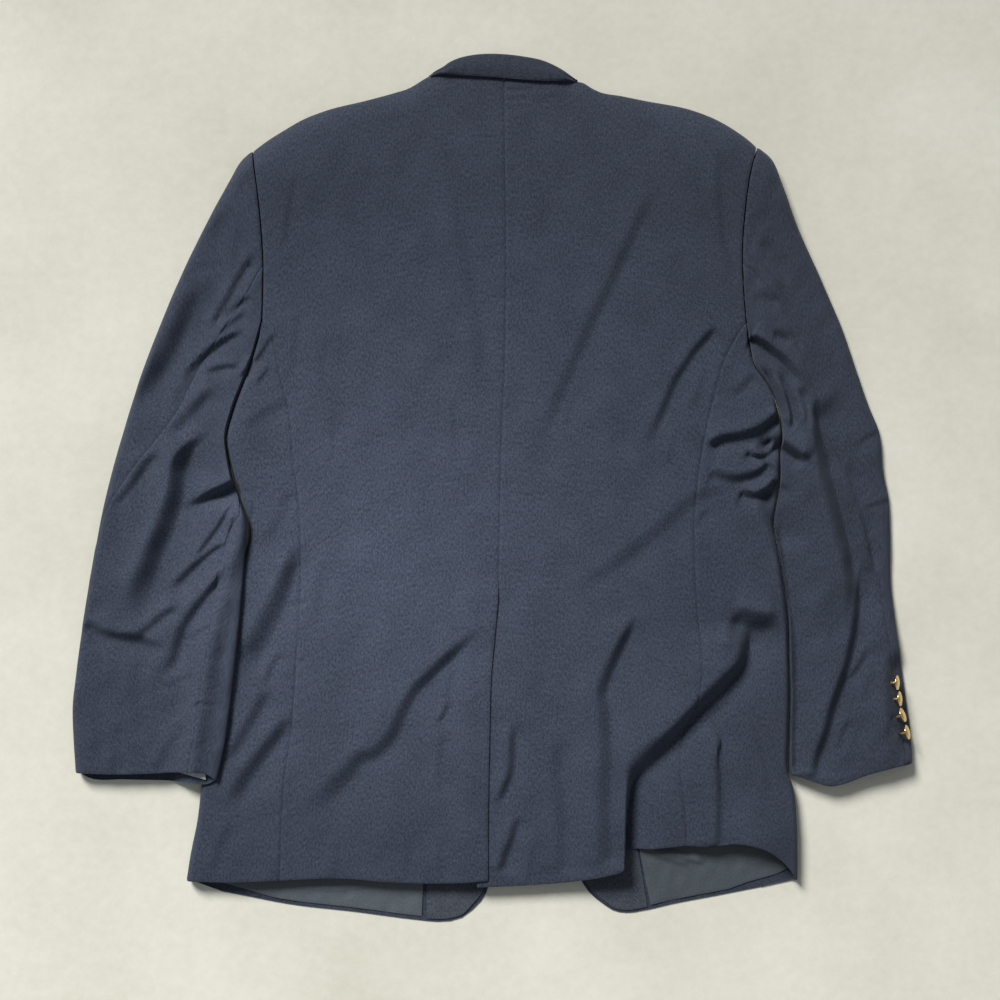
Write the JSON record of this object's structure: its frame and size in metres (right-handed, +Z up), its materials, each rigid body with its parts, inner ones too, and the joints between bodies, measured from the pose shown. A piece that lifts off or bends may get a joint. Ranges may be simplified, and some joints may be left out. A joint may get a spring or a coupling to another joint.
{
  "type": "blazer",
  "caption": "Single-breasted tailored blazer lying flat on its front, back uppermost, with a centre-back vent, tailored sleeves, a folded collar and metal cuff buttons.",
  "frame": {"origin": "middle of the space that the garment covers, on the floor that it lies on", "axes": "+Y from the hem towards the collar, +X towards the right of the picture (the wearer's right arm side, seen from the back), +Z up out of the back"},
  "size_m": [0.8402, 0.8683, 0.0302],
  "materials": {
    "wool": "matte fine worsted wool, navy",
    "lining": "smooth satin lining, grey navy",
    "button_metal": "polished gold-coloured metal"
  },
  "bodies": {
    "root": {"back_left": "wool", "back_right": "wool", "side_left": "wool", "side_right": "wool", "front_left": "wool", "front_top_left": "wool", "front_right": "wool", "front_top_right": "wool", "lapel_left": "wool", "lapel_right": "wool", "collar": "wool", "sleeve_top_left": "wool", "sleeve_top_right": "wool", "sleeve_under_left": "wool", "sleeve_under_right": "wool", "facing_left": "wool", "facing_right": "wool", "lining_left": "lining", "lining_right": "lining", "lining_cuff_left": "lining", "cuff_button_1": "button_metal", "cuff_button_2": "button_metal", "cuff_button_3": "button_metal", "cuff_button_4": "button_metal"}
  },
  "joints": []
}
